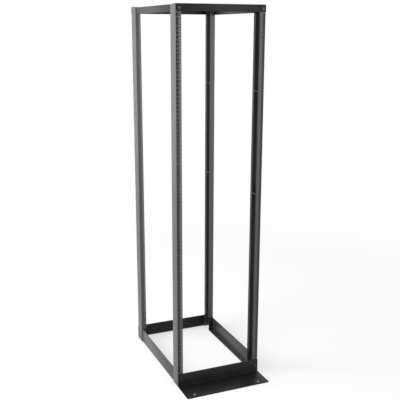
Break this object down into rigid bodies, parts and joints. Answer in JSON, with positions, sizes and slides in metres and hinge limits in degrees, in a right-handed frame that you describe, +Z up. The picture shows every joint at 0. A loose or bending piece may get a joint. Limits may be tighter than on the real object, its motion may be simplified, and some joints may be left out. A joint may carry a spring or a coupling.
{
  "type": "four post open frame rack",
  "caption": "Tall open equipment rack: channel posts drilled with rows of rack holes, tied by angles at floor and top, with a wide front foot.",
  "frame": {"origin": "on the floor, in the middle of the overall width and depth", "axes": "+Z up, -Y towards the front where the wide foot reaches out, +X to the right seen from the front"},
  "size_m": [0.5144, 0.9144, 2.1336],
  "materials": {
    "post_coat": "black powder coat, satin",
    "frame_coat": "black powder coat, satin",
    "plate_coat": "black powder coat, satin"
  },
  "bodies": {
    "root": {"front_left_post": "post_coat", "front_right_post": "post_coat", "rear_left_post": "post_coat", "rear_right_post": "post_coat", "front_foot": "frame_coat", "rear_cross_member": "frame_coat", "top_front_beam": "frame_coat", "top_rear_beam": "frame_coat", "left_base_rail": "frame_coat", "left_top_beam": "frame_coat", "right_base_rail": "frame_coat", "right_top_beam": "frame_coat", "left_base_rail_front_plate": "plate_coat", "left_base_rail_rear_plate": "plate_coat", "left_top_beam_front_plate": "plate_coat", "left_top_beam_rear_plate": "plate_coat", "right_base_rail_front_plate": "plate_coat", "right_base_rail_rear_plate": "plate_coat", "right_top_beam_front_plate": "plate_coat", "right_top_beam_rear_plate": "plate_coat"}
  },
  "joints": []
}
